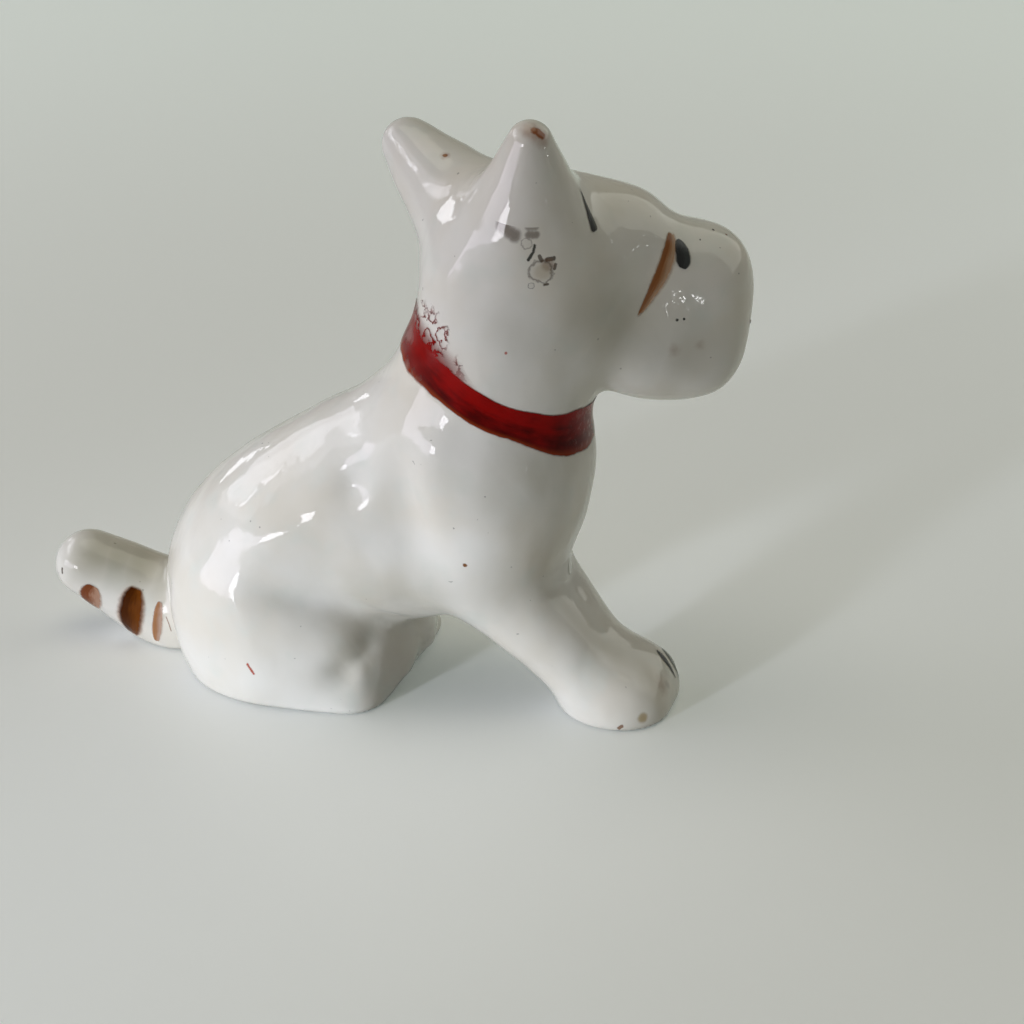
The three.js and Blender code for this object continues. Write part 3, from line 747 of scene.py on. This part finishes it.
def brushed(name, dark, body, thin, veil=1.0, edge_soft=0.3, gloss=0.5):
    """Brushed-on enamel: streaks along the stroke, pooled dark at one side, thin at its rim."""
    paint = Paint(name, Specular_IOR_Level=gloss, IOR=1.5)
    place = paint.place()
    at, along, across = paint.stroke()
    streak = paint.grain(at, 0.16, 3.0, stretch=(0.6, 2.2, 1.0))
    from_rim = 1 - abs(across * 2 - 1)
    from_end = 1 - abs(along * 2 - 1)
    rag = paint.grain(place, 0.45, 3.0) * 0.24 - 0.12
    cover = (from_rim.under(from_end * 4) + rag).ramp(0.02, 0.02 + edge_soft)
    pooled = (streak * 0.7 + across.ramp(0.15, 0.85, -0.1, 0.5)).ramp(0.25, 0.75)
    tint = paint.mix(pooled, body, dark)
    tint = paint.mix(cover.ramp(0.2, 0.95, 1.0, 0.0), tint, thin)
    paint.give(Base_Color=tint, Alpha=cover * pooled.ramp(0.0, 1.0, veil, 1.0),
               Roughness=streak.ramp(0.2, 0.8, 0.07, 0.2),
               Normal=paint.bump(streak, 0.012))
    return paint.material


def collar_red():
    """The band's red: streaked, thick along the middle, and spilled above it behind."""
    paint = Paint("red_enamel", Specular_IOR_Level=0.08, IOR=1.5)
    place = paint.place()
    at, along, across = paint.stroke()
    streak = paint.grain(at, 0.30, 4.0, 0.6, stretch=(6.0, 1.6, 1.0))
    cloud = paint.grain(place, 2.2, 3.0)
    rag = paint.grain(place, 1.7, 4.0) * 0.14 - 0.07
    lower = (across + rag).ramp(0.0, 0.07)
    upper = (1 - across + rag).ramp(0.0, 0.07)
    behind = along.ramp(0.12, 0.20, 1.0, 0.0)
    spilled = along.ramp(0.17, 0.26, 1.0, 0.0)
    front = along.ramp(0.42, 0.52) * along.ramp(0.56, 0.64, 1.0, 0.0)
    thread = abs(paint.grain(place, 1.3, 3.0, 0.6) - 0.5).ramp(0.0, 0.045, 1.0, 0.0)
    thread *= paint.grain(place, 2.4, 1.0).ramp(0.40, 0.52)
    wash = across.ramp(0.95, 1.4, 0.6, 0.0)
    spill = (thread * across.ramp(1.4, 2.1, 1.0, 0.0) + wash).under(1.0) * (1 - upper)
    # scuffs and painted glints over the front of the band
    scuff_and_glint = paint.grain(place, 0.5, 3.0, 0.65).ramp(0.53, 0.63) * front
    weak = behind * cloud.ramp(0.35, 0.6, 0.4, 0.0)
    cover = (lower * upper * (1 - weak) + spill * spilled).under(1.0)
    pool = (streak * 0.55 + cloud * 0.35 + across.ramp(0.1, 1.0, 0.22, -0.05)).ramp(0.35, 0.75)
    tint = paint.mix(pool, RED, RED_POOLED)
    tint = paint.mix(behind * 0.55, tint, RED_BEHIND)
    tint = paint.mix(front * 0.5, tint, RED_PALE_FRONT)
    tint = paint.mix(scuff_and_glint * 0.5, tint, RED_SCUFF_AND_GLINT)
    tint = paint.mix(across.ramp(0.04, 0.22, 0.75, 0.0), tint, RED_LOWER_RIM)
    tint = paint.mix(across.ramp(0.95, 1.15), tint, RED_SPILLED)
    paint.give(Base_Color=tint, Alpha=cover, Roughness=streak.ramp(0.2, 0.8, 0.08, 0.24),
               Normal=paint.bump(streak, 0.014))
    return paint.material


FILM = 0.05         # how far enamel stands above the clay
FILM_ROOT = 0.3     # how deep its solid goes under the skin
STROKE_LENGTHWISE, STROKE_ACROSS = 40, 14       # mesh of a stroke
COLLAR_ROUND, COLLAR_CUTS = 180, 19             # mesh of the collar
REACH_ROUNDS, LONGEST_REACH = 80, 1.0           # search for the skin from the neck's middle
STROKE_END = 1e-5   # keeps a stroke's end from closing to nothing


def bowed(points, shares):
    """Points of the smooth curve through three places."""
    start, via, end = (np.array(p, float) for p in points)
    control = via * 2 - (start + end) / 2
    s = np.asarray(shares)[:, None]
    spots = start * (1 - s) ** 2 + control * 2 * s * (1 - s) + end * s ** 2
    tangents = 2 * (control - start) * (1 - s) + 2 * (end - control) * s
    return spots, tangents / np.linalg.norm(tangents, axis=1, keepdims=True)


def film(bm, name, spots, node, material):
    """Finishes a film: its top on the skin, its root under it, and its place on the body."""
    spots = onto_skin(spots, 5)
    move_to(bm, spots + out_of_skin(spots) * (relief(spots) + FILM)[:, None])
    bm.normal_update()
    bm.faces.ensure_lookup_table()
    face = bm.faces[len(bm.faces) // 2]
    if face.normal @ Vector(slope_of(np.array([face.calc_center_median()]))[0]) < 0:
        bmesh.ops.reverse_faces(bm, faces=bm.faces)
    for face in bm.faces:
        face.smooth = True
    bmesh.ops.transform(bm, matrix=DOG_TO_PART, verts=bm.verts)
    piece = new_object(bm, name)
    wall = piece.modifiers.new("root", "SOLIDIFY")
    wall.thickness = FILM_ROOT * MM
    wall.offset = -1
    wall.use_even_offset = False
    piece.data.materials.append(material)
    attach(piece, "root")
    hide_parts(node)


def swell(share, widest, start, end):
    """Half-width along a touch: 1 at its widest place. Its ends are pointed at 1, round at 2
    and blunt above."""
    toward = np.where(share < widest, (widest - share) / widest, (share - widest) / (1 - widest))
    blunt = np.where(share < widest, start, end)
    return np.maximum(1 - toward ** blunt, STROKE_END) ** (1 / blunt)


def brush_mark(node, points, width, material, shape=(0.5, 2, 2), uneven=0.1):
    """One touch of the brush through three places, with slightly uneven sides. Its shape says
    where it is widest and how blunt its two ends are."""
    bm = bmesh.new()
    bm.loops.layers.uv.new("stroke")
    bmesh.ops.create_grid(bm, x_segments=STROKE_LENGTHWISE, y_segments=STROKE_ACROSS, size=0.5,
                          calc_uvs=True)
    flat = places(bm)
    share, side = flat[:, 0] + 0.5, flat[:, 1] * 2
    middle, tangent = bowed(points, share)
    out = slope_of(middle)
    beside = np.cross(tangent, out)
    beside /= np.linalg.norm(beside, axis=1, keepdims=True)
    shake = [noise.noise(Vector((s * 4, np.sign(t) * 2, width))) for s, t in zip(share, side)]
    half = width / 2 * swell(share, *shape) * (1 + uneven * np.array(shake))
    spots = middle + beside * (side * half)[:, None]
    film(bm, node + "_enamel", spots, node, material)


COLLAR_HEIGHT = 28.7    # height of the band's middle where X is 0
COLLAR_WIDTH = 3.0
COLLAR_SLOPE = 28.8     # degrees that the band leans forward
COLLAR_FLARE = 0.5      # degrees that its edges lean more or less
COLLAR_WAVER = 0.25     # how far the brush wavered

# Where the brush strayed: the red that ran over above the band, the dip and the rise of
# its upper edge, and the sag of its lower edge. Each is at an angle round the neck.
SPILL = dict(rise=3.0, at=-2.3, width=0.45)
DIP = dict(rise=-0.50, at=-1.4, width=0.6)
RISE = dict(rise=0.50, at=-0.3, width=0.45)
SAG = dict(rise=-0.42, at=-2.3, width=0.55)


def hump(angle, rise, at, width):
    return rise * np.exp(-((angle - at) / width) ** 2)


def collar(material):
    """The red band round the neck, between two sloping brushed edges."""
    bm = bmesh.new()
    bmesh.ops.create_cone(bm, cap_ends=False, segments=COLLAR_ROUND, radius1=1, radius2=1,
                          depth=2)
    upright = [e for e in bm.edges if abs(e.verts[0].co.z - e.verts[1].co.z) > 1]
    bmesh.ops.subdivide_edges(bm, edges=upright, cuts=COLLAR_CUTS, use_grid_fill=True)
    p = places(bm)
    angle = np.arctan2(p[:, 1], p[:, 0])
    share = (p[:, 2] + 1) / 2
    waver = np.array([noise.noise(Vector((math.cos(a) * 1.7, math.sin(a) * 1.7, 3.0 * s)))
                      for a, s in zip(angle, share)]) * COLLAR_WAVER
    band_top = COLLAR_WIDTH / 2 + hump(angle, **DIP) + hump(angle, **RISE)
    film_top = band_top + hump(angle, **SPILL)
    bottom = -COLLAR_WIDTH / 2 + hump(angle, **SAG)
    height = bottom + share * (film_top - bottom)
    across = (height - bottom) / (band_top - bottom)
    height += waver
    stroke = bm.loops.layers.uv.new("stroke")
    for face in bm.faces:
        facing = math.atan2(*face.calc_center_median().yx)
        for loop in face.loops:
            turn = math.atan2(loop.vert.co.y, loop.vert.co.x) - facing
            turn = (turn + math.pi) % (2 * math.pi) - math.pi + facing
            loop[stroke].uv = (turn / (2 * math.pi) + 0.5, across[loop.vert.index])
    slope = np.radians(COLLAR_SLOPE + COLLAR_FLARE * (share * 2 - 1))
    up = np.stack([np.sin(slope), 0 * slope, np.cos(slope)], -1)
    middle = np.array((NECK["end"][0], 0,
                       COLLAR_HEIGHT - NECK["end"][0] * math.tan(math.radians(COLLAR_SLOPE))))
    forward = np.stack([np.cos(slope), 0 * slope, -np.sin(slope)], -1)
    left = np.array((0.0, 1.0, 0.0))
    ray = forward * np.cos(angle)[:, None] + left * np.sin(angle)[:, None]
    root = middle + up * height[:, None]
    reach = np.zeros(len(p))
    for _ in range(REACH_ROUNDS):
        reach += np.clip(-clay(root + ray * reach[:, None]), 0, LONGEST_REACH)
    film(bm, "collar_enamel", root + ray * reach[:, None], "collar_band", material)


EYE_WIDTH, BROW_WIDTH, EAR_LINE_WIDTH = 1.5, 1.65, 0.95
NOSE_WIDTH, MOUTH_WIDTH, CLAW_WIDTH = 2.4, 0.5, 0.75
EYE = [(10.6, -5.1, 2.6), (10.8, -5.5, 1.4), (10.5, -5.9, 0.3)]
BROW = [(10.2, -4.8, 3.2), (9.0, -5.9, 0.6), (6.3, -6.1, -3.0)]
RIGHT_EAR_LINE = [(2.2, -6.5, 8.1), (2.6, -7.0, 6.0), (2.9, -7.2, 4.5)]
LEFT_EAR_LINE = [(1.4, 6.8, 7.6), (2.2, 7.0, 5.8), (2.8, 7.1, 4.5)]
NOSE = [(18.0, -1.6, 0.2), (18.4, 0, 0.2), (18.0, 1.6, 0.2)]
MOUTH = [(16.8, -4.8, -5.0), (18.2, 0, -5.8), (16.8, 4.8, -5.0)]
TAIL_STRIPES = [
    ([(-37.9, -4.6, 5.7), (-38.4, -4.5, 4.4), (-38.8, -3.4, 3.0)], 2.7),
    ([(-34.0, -3.8, 5.9), (-34.5, -4.5, 3.5), (-34.9, -3.0, 1.0)], 3.3),
    ([(-31.8, -3.9, 4.8), (-31.9, -4.4, 2.8), (-32.2, -4.1, 0.8)], 1.2),
]
CLAWS = [
    [(12.2, 2.0, 3.9), (13.2, 1.5, 3.1), (14.0, 1.2, 1.9)],
    [(12.4, 3.2, 3.5), (13.5, 2.6, 2.7), (14.2, 2.2, 1.4)],
    [(11.9, 4.4, 3.1), (12.9, 4.0, 2.3), (13.6, 3.7, 1.1)],
]


def enamel_marks():
    """Every brushed mark. A paint has its dark, its body, its thin rim, its veil, the softness of
    its edge and its gloss."""
    black = brushed("black_enamel", linear(20, 22, 20), linear(42, 46, 44), linear(16, 18, 16))
    grey = brushed("grey_enamel", linear(34, 35, 33), linear(70, 72, 68), linear(112, 110, 100),
                   0.85)
    tan = brushed("brow_enamel", linear(136, 82, 38), linear(186, 138, 92),
                  linear(204, 176, 142), 0.58, 0.45, 0.3)
    stripes = [
        brushed("pale_stripe_enamel", linear(118, 62, 32), linear(178, 132, 104),
                linear(198, 166, 144), 0.7, 0.35, 0.15),
        brushed("dark_stripe_enamel", linear(66, 28, 0), linear(104, 54, 6), linear(158, 112, 84),
                0.95, 0.5, 0.12),
        brushed("thin_stripe_enamel", linear(158, 112, 76), linear(192, 154, 132),
                linear(212, 184, 168), 0.6, 0.4, 0.2),
    ]
    for side, flip in (("right", tuple), ("left", mirrored)):
        brush_mark("eye_" + side, [in_head(flip(p)) for p in EYE], EYE_WIDTH,
                   black, (0.58, 1.9, 2.2), 0.05)
        brush_mark("brow_" + side, [in_head(flip(p)) for p in BROW], BROW_WIDTH,
                   tan, (0.5, 2.4, 1.5))
    for side, line in (("right", RIGHT_EAR_LINE), ("left", LEFT_EAR_LINE)):
        brush_mark("ear_line_" + side, [in_head(p) for p in line], EAR_LINE_WIDTH,
                   grey, (0.86, 1.1, 2))
    brush_mark("nose", [in_head(p) for p in NOSE], NOSE_WIDTH, black,
               (0.5, 2.2, 2.2))
    brush_mark("mouth_line", [in_head(p) for p in MOUTH], MOUTH_WIDTH, stripes[1])
    for number, path in enumerate(CLAWS, 1):
        brush_mark(f"claw_line_{number}", path, CLAW_WIDTH, grey, (0.4, 1.6, 1.2))
    for number, ((path, width), paint) in enumerate(zip(TAIL_STRIPES, stripes), 1):
        brush_mark(f"tail_stripe_{number}", path, width, paint, (0.55, 2.1, 2.1))
    collar(collar_red())


# Stage

FLOOR_GLOW = 0.08   # what the floor adds to the camera and to reflections near the figurine
FAR_GLOW = 0.11     # what it adds farther off
ROOM_GLOW = 0.25    # how bright the room is in reflections
HORIZON_GLOW = 0.38  # how bright the room and the end of the floor are to the camera
FLOOR_COLOUR = (0.70, 0.71, 0.69, 1.0)        # what throws light back on the figurine
FLOOR_SEEN_COLOUR = (0.91, 0.91, 0.92, 1.0)   # what the camera sees
NEAR_GLOW_COLOUR = (0.77, 1.0, 0.89, 1.0)
END_GLOW_COLOUR = (0.95, 0.96, 0.92, 1.0)
ROOM_COLOUR = (1.0, 1.0, 0.93, 1.0)
FLOOR_HALF = 3.0          # metres from the floor's middle to its edge
FLOOR_FAR = (40, 350)     # millimetres over which the floor goes from near to farther off
FLOOR_END = (400, 1600)   # millimetres over which it goes to its end
BULBS = ((8, 15), (4, 2), (-33, 1), (-29, 3))  # where the sparkles' small lamps hang, in degrees
BULB_SIZE, BULB_POWER = 0.008, 0.004

CAMERA_TURN, CAMERA_RISE = 18, 24.6     # degrees round to the dog's front, and up
CAMERA_AWAY = 0.175                     # metres from where it aims
AIM = (0, 0, 16.3)                      # in the dog's frame
SENSOR = 36.0
PICTURE_LENGTHS = 2077 / 1024           # focal length in widths of the picture


def camera():
    data = bpy.data.cameras.new("camera")
    data.sensor_width = SENSOR
    data.lens = PICTURE_LENGTHS * SENSOR
    data.clip_start, data.clip_end = 0.01, 10
    view = bpy.data.objects.new("camera", data)
    bpy.context.scene.collection.objects.link(view)
    turn, rise = math.radians(CAMERA_TURN), math.radians(CAMERA_RISE)
    back = Vector((math.sin(turn) * math.cos(rise), -math.cos(turn) * math.cos(rise),
                   math.sin(rise)))
    view.location = DOG_TO_PART @ Vector(AIM) + back * CAMERA_AWAY
    view.rotation_euler = back.to_track_quat("Z", "Y").to_euler()
    bpy.context.scene.camera = view


LIT_MIDDLE = (0, 0, 0.02)  # what the lamps turn to


def around(azimuth, height, away):
    """A place round the figurine, from angles in degrees and a distance in metres."""
    turn, rise = math.radians(azimuth), math.radians(height)
    way = Vector((math.cos(turn) * math.cos(rise), math.sin(turn) * math.cos(rise),
                  math.sin(rise)))
    return Vector(LIT_MIDDLE) + way * away


def lamp(name, at, size, power, colour=(1, 1, 1)):
    """A flat lamp turned to the figurine, with its two sides in metres and its power in watts."""
    data = bpy.data.lights.new(name, "AREA")
    data.shape = "RECTANGLE"
    data.size, data.size_y = size
    return hung(data, at, power, colour, LIT_MIDDLE)


def hung(data, at, power, colour, aim):
    data.energy, data.color = power, colour
    light = bpy.data.objects.new(data.name, data)
    bpy.context.scene.collection.objects.link(light)
    light.location = at
    light.rotation_euler = (light.location - Vector(aim)).to_track_quat("Z", "Y").to_euler()
    return light


def low_beam():
    """Soft light along the floor that reaches the body and legs and fades below the head."""
    data = bpy.data.lights.new("low_beam", "SPOT")
    data.spot_size = math.radians(11)
    data.spot_blend = 1.0
    data.shadow_soft_size = 0.03
    beam = hung(data, around(-114, 5, 0.6), 12.0, (0.84, 0.91, 1.0), (0.004, 0, -0.014))
    beam.visible_glossy = False


def pale_floor():
    """It looks lighter to the camera and in the glaze's reflections than the light that it
    throws on the figurine."""
    bm = bmesh.new()
    bmesh.ops.create_grid(bm, x_segments=1, y_segments=1, size=FLOOR_HALF)
    floor = new_object(bm, "floor")
    paint = Paint("pale_floor", Roughness=0.5)
    seen = paint.node("LightPath", output="Is Camera Ray")
    mirrored_in_glaze = paint.node("LightPath", output="Is Glossy Ray")
    away = paint.node("VectorMath", dict(operation="LENGTH"), {0: paint.place()}, "Value")
    paint.give(Base_Color=paint.mix(seen, FLOOR_COLOUR, FLOOR_SEEN_COLOUR),
               Emission_Color=paint.mix(away.ramp(*FLOOR_END), NEAR_GLOW_COLOUR, END_GLOW_COLOUR),
               Emission_Strength=(seen + mirrored_in_glaze)
               * away.ramp(*FLOOR_FAR, FLOOR_GLOW, FLOOR_GLOW + FAR_GLOW)
               + seen * away.ramp(*FLOOR_END, 0.0, HORIZON_GLOW))
    floor.data.materials.append(paint.material)


def pale_room():
    """A room that is seen and reflected, and throws no light of its own."""
    world = bpy.data.worlds.new("studio")
    world.use_nodes = True
    tree = world.node_tree
    sky = tree.nodes["Background"]
    sky.inputs["Color"].default_value = ROOM_COLOUR
    ray = tree.nodes.new("ShaderNodeLightPath")
    strength = None
    for kind, share in (("Is Glossy Ray", ROOM_GLOW), ("Is Camera Ray", HORIZON_GLOW)):
        glow = tree.nodes.new("ShaderNodeMath")
        glow.operation = "MULTIPLY_ADD"
        glow.inputs[1].default_value = share
        glow.inputs[2].default_value = 0.0
        tree.links.new(ray.outputs[kind], glow.inputs[0])
        if strength:
            tree.links.new(strength.outputs[0], glow.inputs[2])
        strength = glow
    tree.links.new(strength.outputs[0], sky.inputs["Strength"])
    bpy.context.scene.world = world


def lamps():
    """Windows, walls and lamps of the room, guessed from what the glaze reflects. The wide wall
    at the left only lights; the window before it is what the glaze shows."""
    wall = lamp("left_wall", around(-149, 9, 0.8), (0.90, 0.64), 1.1, (0.93, 0.90, 1.0))
    wall.visible_glossy = False
    lamp("left_window", around(-138, 6, 0.8), (0.58, 0.19), 1.1, (0.93, 0.87, 1.0))
    lamp("left_pane", around(-113, 6, 0.8), (0.15, 0.11), 0.55, (0.96, 0.93, 1.0))
    lamp("back_window", around(172, 28, 0.7), (0.42, 0.16), 0.42, (0.94, 0.92, 1.0))
    lamp("back_wall", around(-172, 30, 0.9), (0.60, 0.40), 0.8, (0.96, 0.94, 1.0))
    lamp("back_pane", around(149, 12, 0.7), (0.08, 0.08), 0.06, (0.96, 0.95, 1.0))
    lamp("ear_pane", around(-166, 26, 0.7), (0.05, 0.11), 0.08, (0.94, 0.92, 1.0))
    lamp("right_wall", around(40, 38, 0.95), (1.0, 0.8), 2.2, (1.0, 1.0, 0.92))
    lamp("ceiling", (-0.05, 0.05, 1.20), (1.00, 1.00), 3.4, (1.0, 0.95, 0.74))
    for number, (azimuth, height) in enumerate(BULBS):
        lamp(f"bulb_{number}", around(azimuth, height, 0.6), (BULB_SIZE, BULB_SIZE), BULB_POWER)
    low_beam()


bpy.context.scene.view_settings.view_transform = "Standard"
camera()
pale_floor()
pale_room()
lamps()
clay_pieces(porcelain)
enamel_marks()
